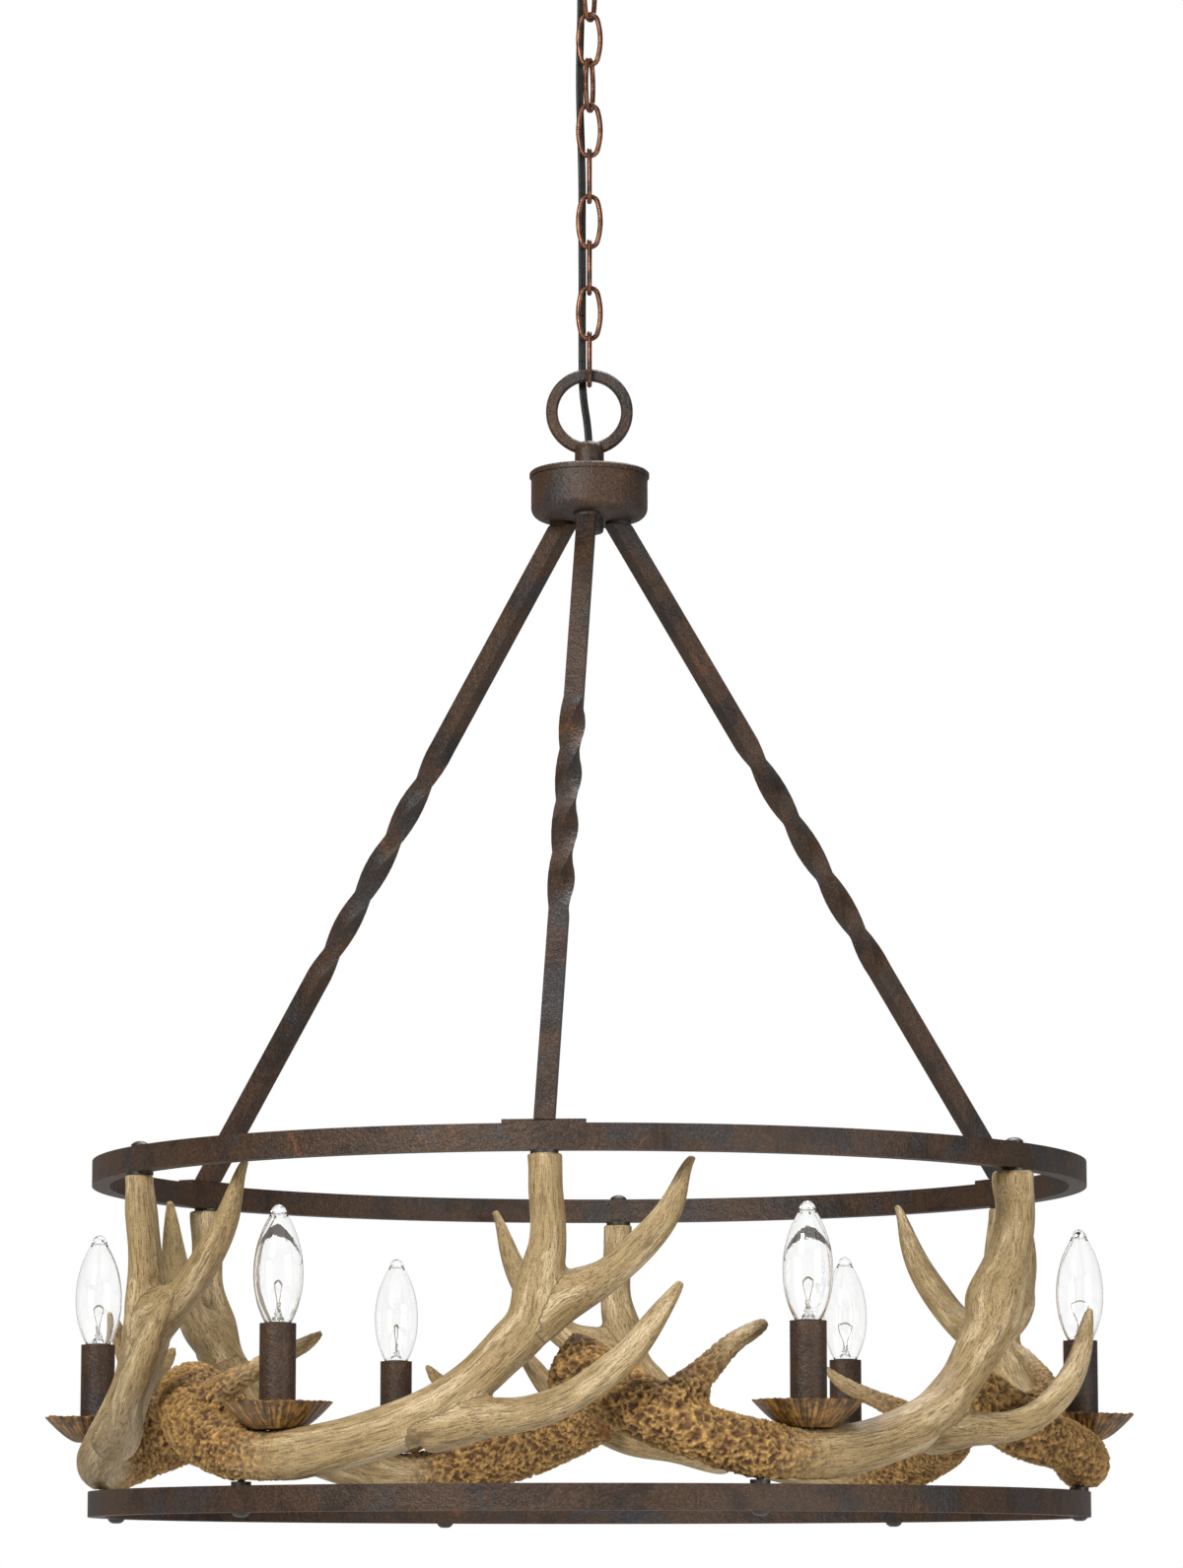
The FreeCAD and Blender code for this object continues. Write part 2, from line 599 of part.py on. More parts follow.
def limb(line):
    """Smooth loft through circles set square to the centre line."""
    centres = [polar(ring_middle + distance, angle, lower_ring_bottom + height)
               for angle, height, distance, thickness in line]
    sections = []
    for k, point in enumerate(line):
        ahead = centres[min(k + 1, len(centres) - 1)]
        behind = centres[max(k - 1, 0)]
        along = (ahead - behind).normalize()
        outward = polar(1, point[0], 0)
        side = (outward - along * outward.dot(along)).normalize()
        circle = Part.makeCircle(point[3] / 2)
        turn = FreeCAD.Rotation(side, along.cross(side), along, "ZXY")
        circle.Placement = FreeCAD.Placement(centres[k], turn)
        sections.append(Part.Wire(circle))
    return Part.makeLoft(sections, True, False)


def pan_underside():
    """What the pan and the space over it take out of a casting, with the flat seat left to touch."""
    rim = pan_bottom + pan_depth
    wide = pan_radius + contact_gap
    return turned([(0, pan_bottom), (pan_floor_radius + contact_gap, pan_bottom),
                   (wide, rim, (pan_floor_radius + pan_radius) / 2 + 1.5 + contact_gap,
                    pan_bottom + pan_depth * pan_sag - contact_gap),
                   (wide, rim + 60), (0, rim + 60)])


def antler(casting):
    """One casting, made with its nominal place at the front: base and post, tines, seats and holes."""
    body = limb(beam(casting))
    prong = [(angle, level, distance, thickness * casting["prong"])
             for angle, level, distance, thickness in lower_tine_line]
    body = body.fuse(limb([necked(upper_tine_line[0], casting["neck"])]
                          + shifted(upper_tine_line, casting["upper"], casting["post"])[1:]))
    body = body.fuse(limb(shifted(prong, casting["lower"])))
    body = body.fuse(limb(shifted(brow_tine_line, casting["brow"])))
    far = ring_radius * 1.3
    body = body.cut(Part.makeBox(2 * far, 2 * far, 60, Vector(-far, -far, antler_base - 60)))
    post_axis = polar(ring_middle, casting["post"], 0)
    body = body.cut(cylinder(post_line[-1][3], post_top, post_top + 10 * post_trim, post_axis))
    candle = polar(ring_middle + casting["candle"][1], candle_angle + casting["candle"][0], 0)
    relief = pan_underside()
    relief.translate(candle)
    body = body.cut(relief)
    screw = polar(ring_middle, base_angle, 0)
    holes = [(nipple_radius, pan_bottom - candle_nipple_depth, pan_bottom + 1, candle),
             (post_stud_radius, post_top - post_stud_depth, post_top + 1, post_axis),
             (base_screw_radius, antler_base - 1, antler_base + base_screw_depth, screw)]
    for radius, bottom, top, place in holes:
        body = body.cut(cylinder(radius + thread_clearance, bottom, top, place))
    return body


def post_studs():
    stud = cylinder(post_stud_radius, post_top - post_stud_depth, post_stud_top, polar(ring_middle, 0, 0))
    return placed(stud, post_angles)


def cap_nuts():
    """Domed nuts on the posts that stand between the bars."""
    top = upper_ring_top + cap_nut_height
    nut = turned([(0, upper_ring_top), (cap_nut_radius, upper_ring_top), (cap_nut_radius, top - cap_nut_dome),
                  (crown_flat, top, cap_nut_radius * 0.75, top - 1.1), (0, top)])
    nut = nut.cut(cylinder(post_stud_radius + thread_clearance, upper_ring_top - 1, post_stud_top + 0.1))
    nut.translate(polar(ring_middle, 0, 0))
    return placed(nut, free_post_angles)


def antler_washers():
    post = tube(post_washer_radius, post_stud_radius + hole_clearance / 2, post_top, upper_ring_bottom,
                polar(ring_middle, 0, 0))
    base = tube(base_washer_radius, base_screw_radius + hole_clearance / 2, lower_ring_top, antler_base,
                polar(ring_middle, 0, 0))
    return placed(post, post_angles) + placed(base, screw_angles)


def base_screws():
    place = polar(ring_middle, 0, 0)
    bottom = lower_ring_bottom - base_screw_head_height
    dome = (base_screw_head_radius * 0.74, bottom + base_screw_head_height * 0.28)
    head = turned([(0, lower_ring_bottom), (base_screw_head_radius, lower_ring_bottom),
                   (crown_flat, bottom) + dome, (0, bottom)])
    head.translate(place)
    shank = cylinder(base_screw_radius, lower_ring_bottom, antler_base + base_screw_depth, place)
    return placed(head.fuse(shank), screw_angles)


# ---- candles, each made on the hanging axis ----
def drip_pan():
    """Sheet pan with a flat floor and a flared rim."""
    rim = pan_bottom + pan_depth
    middle = (pan_floor_radius + pan_radius) / 2
    sag = pan_bottom + pan_depth * pan_sag
    return turned([(nipple_radius + hole_clearance, pan_bottom), (pan_floor_radius, pan_bottom),
                   (pan_radius, rim, middle + 1.5, sag),
                   (pan_radius - pan_sheet * 0.7, rim + pan_sheet * 0.7),
                   (pan_floor_radius - 0.5, sleeve_bottom, middle + 0.4, sag + pan_sheet),
                   (nipple_radius + hole_clearance, sleeve_bottom)])


def candle_sleeve():
    return tube(sleeve_radius, sleeve_radius - sleeve_wall, sleeve_bottom, sleeve_top)


def lamp_socket():
    """Socket body with the threaded stem that clamps the pan to the casting."""
    top = sleeve_top - 0.5
    body = cylinder(sleeve_radius - sleeve_wall - socket_gap, sleeve_bottom, top)
    stem = cylinder(nipple_radius, pan_bottom - candle_nipple_depth + 1, sleeve_bottom)
    bore = cylinder(base_radius + base_clearance, top - socket_bore_depth, top + 1)
    return body.fuse(stem).cut(bore)


def bulb_base():
    tip = sleeve_top - base_length
    return turned([(0, tip - base_tip_height), (base_tip_radius, tip - base_tip_height), (base_radius, tip),
                   (base_radius, sleeve_top), (0, sleeve_top)])


def bulb_glass():
    """Candle-shaped glass shell, closed at the base and drawn to a blunt point."""
    def envelope(radius, neck, bottom, top):
        belly = bottom + bulb_belly
        crown = top - bulb_crown
        return turned([(0, bottom), (neck, bottom),
                       (radius, belly, radius * 0.81, bottom + bulb_belly * 0.37),
                       (radius * 0.33, crown, radius * 0.87, belly + (crown - belly) * 0.5),
                       (crown_flat, top, radius * 0.22, top - 1.6), (0, top)])
    top = sleeve_top + bulb_height
    glass = envelope(bulb_radius, bulb_neck, sleeve_top, top)
    floor = sleeve_top + bulb_wall
    return glass.cut(envelope(bulb_radius - bulb_wall, bulb_neck - bulb_wall, floor, top - bulb_tip))


os.makedirs("parts", exist_ok=True)
save("mounting_crossbar", crossbar())
save("canopy_nipple", canopy_nipple())
save("ceiling_canopy", canopy())
save("canopy_collar_nut", collar_nut())
save("canopy_loop", canopy_loop())
for number in range(1, link_count + 1):
    save("chain_link_" + str(number), chain_link(number))
save("power_cord", cord())
save("hanging_ring", hanger())
save("hub_lid", hub_lid())
save("hub_cup", hub_cup())
save("hub_nipple", hub_nipple())
save("hub_finial", hub_finial())
save("wire_nuts", wire_nuts())
save("bar_nuts", bar_nuts())
save("upper_ring", upper_ring())
save("lower_ring", lower_ring())
save("post_studs", post_studs())
save("cap_nuts", cap_nuts())
save("antler_washers", antler_washers())
save("base_screws", base_screws())
save("candle_sleeves", at_candles(candle_sleeve()))
save("lamp_sockets", at_candles(lamp_socket()))
for number, bar in enumerate(placed(twisted_bar(), bar_angles), 1):
    save("twisted_bar_" + str(number), bar)
for number, (angle, casting) in enumerate(zip(nominal_angles, castings), 1):
    save("antler_" + str(number), placed(antler(casting), [angle]))
for name, pieces in (("drip_pan_", at_candles(drip_pan())), ("bulb_base_", at_candles(bulb_base())),
                     ("bulb_glass_", at_candles(bulb_glass()))):
    for number, piece in enumerate(pieces, 1):
        save(name + str(number), piece)
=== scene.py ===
import bpy
import bmesh
import json
import math
import numpy as np
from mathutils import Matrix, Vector, noise


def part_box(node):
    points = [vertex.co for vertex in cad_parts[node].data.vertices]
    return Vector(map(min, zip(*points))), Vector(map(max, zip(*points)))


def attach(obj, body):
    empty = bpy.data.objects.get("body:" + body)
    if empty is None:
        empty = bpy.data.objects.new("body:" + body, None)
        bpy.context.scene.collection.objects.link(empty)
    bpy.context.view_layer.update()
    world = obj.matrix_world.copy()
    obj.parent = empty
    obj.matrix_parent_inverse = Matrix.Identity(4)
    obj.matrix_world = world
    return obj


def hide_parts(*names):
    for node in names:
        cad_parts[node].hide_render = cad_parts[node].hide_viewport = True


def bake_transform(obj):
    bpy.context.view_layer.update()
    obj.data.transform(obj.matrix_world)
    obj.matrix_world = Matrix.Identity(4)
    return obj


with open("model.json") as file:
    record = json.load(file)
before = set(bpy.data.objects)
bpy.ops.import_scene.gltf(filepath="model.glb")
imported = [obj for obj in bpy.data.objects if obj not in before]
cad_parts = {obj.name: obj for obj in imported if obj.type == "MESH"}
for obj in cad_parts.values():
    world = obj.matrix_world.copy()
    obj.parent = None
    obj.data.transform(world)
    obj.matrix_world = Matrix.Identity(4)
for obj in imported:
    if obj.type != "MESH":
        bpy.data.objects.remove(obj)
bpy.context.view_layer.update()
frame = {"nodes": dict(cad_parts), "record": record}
nodes = frame["nodes"]
mm = 0.001
print("frame loaded:", len(nodes), "nodes")


def polar(radius, angle, height):
    turn = math.radians(angle)   # from the front (-Y) towards +X
    return np.array([radius * math.sin(turn), -radius * math.cos(turn), height])


def smoothStep(value, low, high):
    share = np.clip((value - low) / (high - low), 0, 1)
    return share * share * (3 - 2 * share)


camera = {"place": (0.0015, -3.740, -1.2195), "tilt": 98.519, "lens": 124.0, "film": 36.0}


def setCamera(s):
    data = bpy.data.cameras.new("photoCamera")
    data.lens = s["lens"]
    data.sensor_width = s["film"]
    data.clip_end = 60
    eye = bpy.data.objects.new("photoCamera", data)
    eye.location = s["place"]
    eye.rotation_euler = (math.radians(s["tilt"]), 0, 0)
    bpy.context.collection.objects.link(eye)
    bpy.context.scene.camera = eye


studio = {
    "roomLight": 0.27, "mirroredRoom": 0.30,
    "floorHeight": -2.05,
    "floorSize": 9.0,
    "floorColour": (0.86, 0.86, 0.85),
    "lamps": [   # name, place, aim, size, power
        ("keyLamp", (-1.5, -2.6, 0.5), (0, 0, -0.95), 1.2, 132),
        ("fillLamp", (2.1, -2.2, -0.7), (0, 0, -0.95), 1.5, 48),
        ("topLamp", (0.2, 0.9, 1.3), (0, 0, -0.9), 1.2, 62),
    ],
}


def setStudio(s):
    world = bpy.data.worlds.new("studioRoom")
    world.use_nodes = True
    tree = world.node_tree
    shade = tree.nodes["Background"]
    path = tree.nodes.new("ShaderNodeLightPath")
    clear = tree.nodes.new("ShaderNodeMath")
    clear.operation = "MAXIMUM"
    tree.links.new(path.outputs["Is Camera Ray"], clear.inputs[0])
    tree.links.new(path.outputs["Is Transmission Ray"], clear.inputs[1])
    level = clear.outputs[0]
    for output, low in (("Is Glossy Ray", s["mirroredRoom"]), (None, s["roomLight"])):
        stage = tree.nodes.new("ShaderNodeMath")
        stage.operation = "MAXIMUM"
        tree.links.new(level, stage.inputs[0])
        stage.inputs[1].default_value = low
        if output:
            scaled = tree.nodes.new("ShaderNodeMath")
            scaled.operation = "MULTIPLY"
            scaled.inputs[1].default_value = low
            tree.links.new(path.outputs[output], scaled.inputs[0])
            tree.links.new(scaled.outputs[0], stage.inputs[1])
        level = stage.outputs[0]
    tree.links.new(level, shade.inputs["Strength"])
    shade.inputs["Color"].default_value = (1, 1, 1, 1)
    bpy.context.scene.world = world
    for name, place, aim, size, power in s["lamps"]:
        data = bpy.data.lights.new(name, "AREA")
        data.size = size
        data.energy = power
        lamp = bpy.data.objects.new(name, data)
        lamp.location = place
        lamp.rotation_euler = (Vector(aim) - Vector(place)).to_track_quat("-Z", "Y").to_euler()
        bpy.context.collection.objects.link(lamp)
    half = s["floorSize"] / 2
    mesh = bpy.data.meshes.new("studioFloor")
    corners = [(-half, -half), (half, -half), (half, half), (-half, half)]
    mesh.from_pydata([(x, y, s["floorHeight"]) for x, y in corners], [], [(0, 1, 2, 3)])
    floor = bpy.data.objects.new("studioFloor", mesh)
    bpy.context.collection.objects.link(floor)
    paint = bpy.data.materials.new("floorPaint")
    paint.use_nodes = True
    paint.node_tree.nodes["Principled BSDF"].inputs["Base Color"].default_value = (*s["floorColour"], 1)
    paint.node_tree.nodes["Principled BSDF"].inputs["Roughness"].default_value = 0.9
    mesh.materials.append(paint)


setCamera(camera)
setStudio(studio)
bpy.context.scene.view_settings.view_transform = "Standard"
print("camera and studio made")


# a material being wired, with small helpers round its node tree
class wiredFinish:
    def __init__(self, name, rough=0.5, metal=0.0, colour=(0.5, 0.5, 0.5), gloss=0.5):
        self.material = bpy.data.materials.new(name)
        self.material.use_nodes = True
        self.tree = self.material.node_tree
        self.shader = self.tree.nodes["Principled BSDF"]
        self.set("Roughness", rough)
        self.set("Metallic", metal)
        self.set("Base Color", (*colour, 1))
        self.set("Specular IOR Level", gloss)
        self.place = self.tree.nodes.new("ShaderNodeTexCoord").outputs["Object"]

    def set(self, socket, value):
        self.shader.inputs[socket].default_value = value

    def wire(self, socket, output):
        self.tree.links.new(output, self.shader.inputs[socket])

    def attribute(self, name, output="Fac"):
        node = self.tree.nodes.new("ShaderNodeAttribute")
        node.attribute_name = name
        return node.outputs[output]

    def stretched(self, output, scale):
        node = self.tree.nodes.new("ShaderNodeMapping")
        node.inputs["Scale"].default_value = scale
        self.tree.links.new(output, node.inputs["Vector"])
        return node.outputs[0]

    def clouds(self, scale, detail=3.0, rough=0.55, place=None, distortion=0.0):
        node = self.tree.nodes.new("ShaderNodeTexNoise")
        node.inputs["Scale"].default_value = scale
        node.inputs["Detail"].default_value = detail
        node.inputs["Roughness"].default_value = rough
        node.inputs["Distortion"].default_value = distortion
        self.tree.links.new(self.place if place is None else place, node.inputs["Vector"])
        return node.outputs["Fac"]

    def ramp(self, output, stops):
        node = self.tree.nodes.new("ShaderNodeValToRGB")
        marks = node.color_ramp.elements
        while len(marks) < len(stops):
            marks.new(0.5)
        for mark, (at, colour) in zip(marks, stops):
            mark.position = at
            mark.color = (*colour, 1) if len(colour) == 3 else (colour[0],) * 3 + (1,)
        self.tree.links.new(output, node.inputs["Fac"])
        return node.outputs["Color"]

    def mixed(self, share, first, second, how="MIX"):
        node = self.tree.nodes.new("ShaderNodeMix")
        node.data_type = "RGBA"
        node.blend_type = how
        for socket, value in ((node.inputs[0], share), (node.inputs[6], first), (node.inputs[7], second)):
            if isinstance(value, bpy.types.NodeSocket):
                self.tree.links.new(value, socket)
            else:
                socket.default_value = value if isinstance(value, float) else (*value, 1)
        return node.outputs[2]

    def level(self, output, low, high):
        node = self.tree.nodes.new("ShaderNodeMapRange")
        node.inputs["To Min"].default_value = low
        node.inputs["To Max"].default_value = high
        self.tree.links.new(output, node.inputs["Value"])
        return node.outputs[0]

    def bumps(self, heights):
        # heights: (output, depth in metres), finest last
        last = None
        for output, depth in heights:
            node = self.tree.nodes.new("ShaderNodeBump")
            node.inputs["Distance"].default_value = depth
            self.tree.links.new(output, node.inputs["Height"])
            if last is not None:
                self.tree.links.new(last, node.inputs["Normal"])
            last = node.outputs[0]
        self.wire("Normal", last)


rust = {
    "dark": (0.020, 0.011, 0.006), "brown": (0.052, 0.026, 0.012), "orange": (0.135, 0.055, 0.017),
    "slate": (0.026, 0.026, 0.027), "patch": 24.0, "speckle": 640.0, "hammer": 210.0,
    "grain": 0.00045, "dents": 0.0009,
}


def rustedSteel(s):
    f = wiredFinish("rustedSteel", rough=0.5, metal=0.1, gloss=0.3)
    patch = f.clouds(s["patch"], 6.0, 0.68, distortion=0.4)
    base = f.ramp(patch, [(0.36, s["dark"]), (0.50, s["brown"]), (0.62, s["brown"]), (0.72, s["orange"])])
    cool = f.ramp(f.clouds(s["patch"] * 0.7, 5.0, 0.65, f.stretched(f.place, (1.0, 1.3, 0.9))),
                  [(0.50, (0.0,)), (0.62, (0.75,))])
    toned = f.mixed(cool, base, s["slate"])
    fleck = f.clouds(s["speckle"], 3.0, 0.65)
    # fine flecks in the colour: the dark ones are real pitting, the bright ones (up to 1.9 times) are
    # painted highlight glints
    flecksAndGlints = f.ramp(fleck, [(0.38, (0.30,)), (0.60, (1.0,)), (0.70, (1.9,))])
    f.wire("Base Color", f.mixed(0.75, toned, flecksAndGlints, "MULTIPLY"))
    f.wire("Roughness", f.level(fleck, 0.30, 0.62))
    f.bumps([(f.clouds(s["hammer"], 3.0, 0.6), s["dents"]), (fleck, s["grain"])])
    return f.material


chainWire = {"dark": (0.045, 0.019, 0.010), "bright": (0.190, 0.078, 0.037), "rough": 0.36}


def copperedWire(s):
    f = wiredFinish("copperedWire", rough=s["rough"], metal=0.7, gloss=0.4)
    worn = f.clouds(140.0, 4.0, 0.65)
    f.wire("Base Color", f.ramp(worn, [(0.38, s["dark"]), (0.66, s["bright"])]))
    f.wire("Roughness", f.level(worn, 0.46, 0.30))
    f.bumps([(f.clouds(900.0, 2.0), 0.00008)])
    return f.material


horn = {
    "pale": (0.530, 0.400, 0.225), "tan": (0.340, 0.238, 0.108), "umber": (0.150, 0.094, 0.038),
    "fibre": (0.085, 0.050, 0.018), "crest": (0.520, 0.300, 0.090), "crevice": (0.070, 0.029, 0.007),
    "end": (0.300, 0.135, 0.045), "fibreWidth": 1250.0, "fibreStretch": 0.045,
    "specks": 1100.0, "grime": 330.0, "slopeTone": 0.42,
}


def antlerHorn(s):
    f = wiredFinish("antlerHorn", rough=0.55, gloss=0.3)
    limb = f.attribute("limbPlace", "Vector")
    rough = f.attribute("burrShare")
    hollow = f.attribute("hollow")
    broad = f.clouds(75.0, 5.0, 0.65, f.stretched(limb, (1.0, 1.0, 0.16)))
    skin = f.ramp(broad, [(0.30, s["umber"]), (0.42, s["tan"]), (0.52, s["tan"]), (0.62, s["pale"])])
    lines = f.clouds(s["fibreWidth"], 4.0, 0.7, f.stretched(limb, (1.0, 1.0, s["fibreStretch"])), 0.5)
    strand = f.ramp(lines, [(0.40, (0.8,)), (0.50, (0.0,))])
    smooth = f.mixed(strand, skin, s["fibre"])
    specks = f.ramp(f.clouds(s["specks"], 3.0, 0.7), [(0.38, (0.40,)), (0.58, (1.0,))])
    flecked = f.mixed(0.6, smooth, specks, "MULTIPLY")
    slope = tuple((a + b) * s["slopeTone"] for a, b in zip(s["crest"], s["crevice"]))
    coral = f.ramp(hollow, [(0.04, s["crest"]), (0.38, slope), (0.90, s["crevice"])])
    grime = f.ramp(f.clouds(s["grime"], 5.0, 0.75), [(0.36, (0.40,)), (0.62, (1.15,))])
    coral = f.mixed(0.55, coral, grime, "MULTIPLY")
    sawn = f.ramp(f.clouds(240.0, 4.0, 0.7), [(0.36, s["crevice"]), (0.62, s["end"])])
    coral = f.mixed(f.attribute("endFace"), coral, sawn)
    f.wire("Base Color", f.mixed(rough, flecked, coral))
    f.wire("Roughness", f.level(rough, 0.50, 0.70))
    f.bumps([(broad, 0.0008), (lines, 0.0005), (f.clouds(700.0, 3.0), 0.00018)])
    return f.material


leafPan = {"gold": (0.340, 0.175, 0.036), "brown": (0.150, 0.068, 0.012), "dark": (0.026, 0.012, 0.003)}


def panGold(s):
    f = wiredFinish("panGold", rough=0.42, metal=0.1, gloss=0.4)
    veins = f.clouds(420.0, 4.0, 0.7, f.stretched(f.attribute("panPlace", "Vector"), (1.0, 0.10, 0.10)))
    colour = f.ramp(veins, [(0.34, s["dark"]), (0.48, s["brown"]), (0.64, s["gold"])])
    mottle = f.ramp(f.clouds(180.0, 6.0, 0.8), [(0.42, (0.16,)), (0.56, (1.0,))])
    f.wire("Base Color", f.mixed(0.85, colour, mottle, "MULTIPLY"))
    f.bumps([(veins, 0.0006), (f.clouds(500.0, 3.0), 0.0003)])
    return f.material


def clearGlass():
    f = wiredFinish("clearGlass", rough=0.0, colour=(0.98, 0.985, 0.98))
    f.set("Transmission Weight", 1.0)
    f.set("IOR", 1.45)
    # base colour: the glass's own faint tint where it faces the view, then a grey rim by facing at the edges
    # as a painted reflection
    rim = f.tree.nodes.new("ShaderNodeLayerWeight")
    rim.inputs["Blend"].default_value = 0.35
    tintAndRimReflection = f.ramp(rim.outputs["Facing"], [(0.55, (0.985, 0.99, 0.985)), (0.98, (0.50, 0.50, 0.49))])
    f.wire("Base Color", tintAndRimReflection)
    return f.material


filament = {"hot": (1.0, 0.62, 0.26), "wire": (0.30, 0.24, 0.18), "power": 60.0}


def glowingWire(s):
    f = wiredFinish("glowingWire", rough=0.4, metal=0.8, colour=s["wire"])
    f.set("Emission Color", (*s["hot"], 1))
    heat = f.ramp(f.attribute("heat"), [(0.0, (0.0,)), (1.0, (1.0,))])
    f.wire("Emission Strength", f.level(heat, 0.0, s["power"]))
    f.bumps([(f.clouds(2500.0, 2.0), 0.00003)])
    return f.material


# one colour with a fine grain and light wear
def plain(name, colour, rough, metal, grain, gloss=0.5, spread=0.35, size=300.0):
    f = wiredFinish(name, rough=rough, metal=metal, gloss=gloss)
    wear = f.clouds(size, 3.0)
    f.wire("Base Color", f.ramp(wear, [(0.3, tuple(c * (1 - spread) for c in colour)), (0.65, colour)]))
    f.wire("Roughness", f.level(wear, rough * 0.85, min(rough * 1.2, 1.0)))
    f.bumps([(wear, grain)])
    return f.material


finishes = {
    "rusted_steel": rustedSteel(rust),
    "chain_copper": copperedWire(chainWire),
    "antler_resin": antlerHorn(horn),
    "pan_resin": panGold(leafPan),
    "clear_glass": clearGlass(),
    "base_brass": plain("baseBrass", (0.72, 0.56, 0.28), 0.28, 0.95, 0.00003),
    "socket_black": plain("socketPhenolic", (0.030, 0.028, 0.026), 0.45, 0.0, 0.00004),
    "cord_black": plain("cordVinyl", (0.012, 0.011, 0.010), 0.42, 0.0, 0.00003, gloss=0.25),
    "plated_steel": plain("zincPlate", (0.56, 0.55, 0.52), 0.36, 0.9, 0.00004),
    "dark_screws": plain("blackOxide", (0.028, 0.024, 0.021), 0.42, 0.4, 0.00006),
    "wire_nut_orange": plain("connectorOrange", (0.72, 0.26, 0.06), 0.45, 0.0, 0.00005),
}


def dressNodes():
    for part in frame["record"]["subparts"]:
        node = nodes[part["node"]]
        node.data.materials.clear()
        node.data.materials.append(finishes[part["material_slot"]])


dressNodes()
print("finishes on every node")


def newPiece(name, mesh, body, slot, smooth=True, finish=None):
    piece = bpy.data.objects.new(name, mesh)
    bpy.context.collection.objects.link(piece)
    mesh.materials.append(finish or finishes[slot])
    if smooth:
        mesh.polygons.foreach_set("use_smooth", [True] * len(mesh.polygons))
    if body is not None:
        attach(piece, body)
    return piece


twinCord = {
    "width": 5.5 * mm, "thickness": 2.9 * mm, "across": (1.0, 0.25, 0.0), "sides": 14, "smoothness": 24,
    "roundShare": 0.86, "waist": 0.42,
    "route": [
        (0.0, 0.0, -18.0), (0.0, 0.0, -46.0), (-6.2, 5.8, -71.0), (-6.0, 5.5, -100.0),
        (-7.0, 5.2, -134.0), (-6.9, 5.6, -168.0), (-5.7, 5.3, -200.0), (-5.1, 5.6, -232.0),
        (-5.3, 5.3, -262.0), (-5.0, 5.6, -292.0), (-5.2, 5.5, -320.0), (-5.1, 7.2, -350.0),
        (-5.0, 7.6, -378.0), (0.0, 0.0, -410.5), (0.0, 0.0, -431.0),
    ],
}


def cordLine(s):
    curve = bpy.data.curves.new("cordLine", "CURVE")
    curve.dimensions = "3D"
    line = curve.splines.new("NURBS")
    line.points.add(len(s["route"]) - 1)
    for point, place in zip(line.points, s["route"]):
        point.co = (*[c * mm for c in place], 1)
    line.order_u = 3
    line.use_endpoint_u = True
    line.resolution_u = s["smoothness"]
    holder = bpy.data.objects.new("cordLine", curve)
    bpy.context.collection.objects.link(holder)
    mesh = bpy.data.meshes.new_from_object(holder)
    points = np.array([v.co for v in mesh.vertices])
    bpy.data.objects.remove(holder)
    return points


# where the cord's line, which always falls, passes a height
def cutAt(points, height):
    k = int(np.argmax(points[:, 2] < height))
    share = (points[k - 1, 2] - height) / (points[k - 1, 2] - points[k, 2])
    return points[k - 1] + share * (points[k] - points[k - 1])


# a closed outline swept along points, its size scaled at each of them
def sweep(name, points, outline, across, scales=None):
    rows = []
    for k, point in enumerate(points):
        along = points[min(k + 1, len(points) - 1)] - points[max(k - 1, 0)]
        along = along / np.linalg.norm(along)
        flat = np.array(across) - along * np.dot(across, along)
        flat /= np.linalg.norm(flat)
        thin = np.cross(along, flat)
        size = 1.0 if scales is None else scales[k]
        rows.append([point + (flat * x + thin * y) * size for x, y in outline])
    count = len(outline)
    corners = [tuple(corner) for row in rows for corner in row]
    faces = []
    for r in range(len(rows) - 1):
        for k in range(count):
            n = (k + 1) % count
            faces.append((r * count + k, r * count + n, (r + 1) * count + n, (r + 1) * count + k))
    faces.append(tuple(range(count))[::-1])
    faces.append(tuple((len(rows) - 1) * count + k for k in range(count)))
    mesh = bpy.data.meshes.new(name)
    mesh.from_pydata(corners, [], faces)
    mesh.update()
    return mesh


# two round conductors side by side
def twinOutline(s):
    half = s["width"] / 2
    core = s["thickness"] / 2
    outline = []
    for side in (1, -1):
        for k in range(s["sides"]):
            turn = math.pi * (k / (s["sides"] - 1) - 0.5) * s["roundShare"]
            outline.append((side * (half - core + core * math.cos(turn)), side * core * math.sin(turn)))
        outline.append((0.0, side * core * s["waist"]))
    return outline


# one stretch of the cord for each joint of the chain
def hangCord(s, linkMiddles):
    line = cordLine(s)
    marks = [line[0]] + [cutAt(line, z) for z in linkMiddles] + [line[-1]]
    for k, (first, last) in enumerate(zip(marks, marks[1:])):
        inside = line[(line[:, 2] < first[2] - 1e-5) & (line[:, 2] > last[2] + 1e-5)]
        path = np.vstack([first, inside, last])
        stretch = sweep("twinCord", path, twinOutline(s), s["across"])
        piece = newPiece("powerCord_%d" % (k + 1), stretch, None, "cord_black")
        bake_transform(piece)
        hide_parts("power_cord")


middles = []
for number in range(9, 0, -1):
    low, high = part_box("chain_link_%d" % number)
    middles.append((low[2] + high[2]) / 2)
hangCord(twinCord, middles)
print("cord hung beside the chain")


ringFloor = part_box("lower_ring")[0][2]
ringMiddle = 337.0 * mm
postRise = (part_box("upper_ring")[0][2] - ringFloor) / mm - 2.0

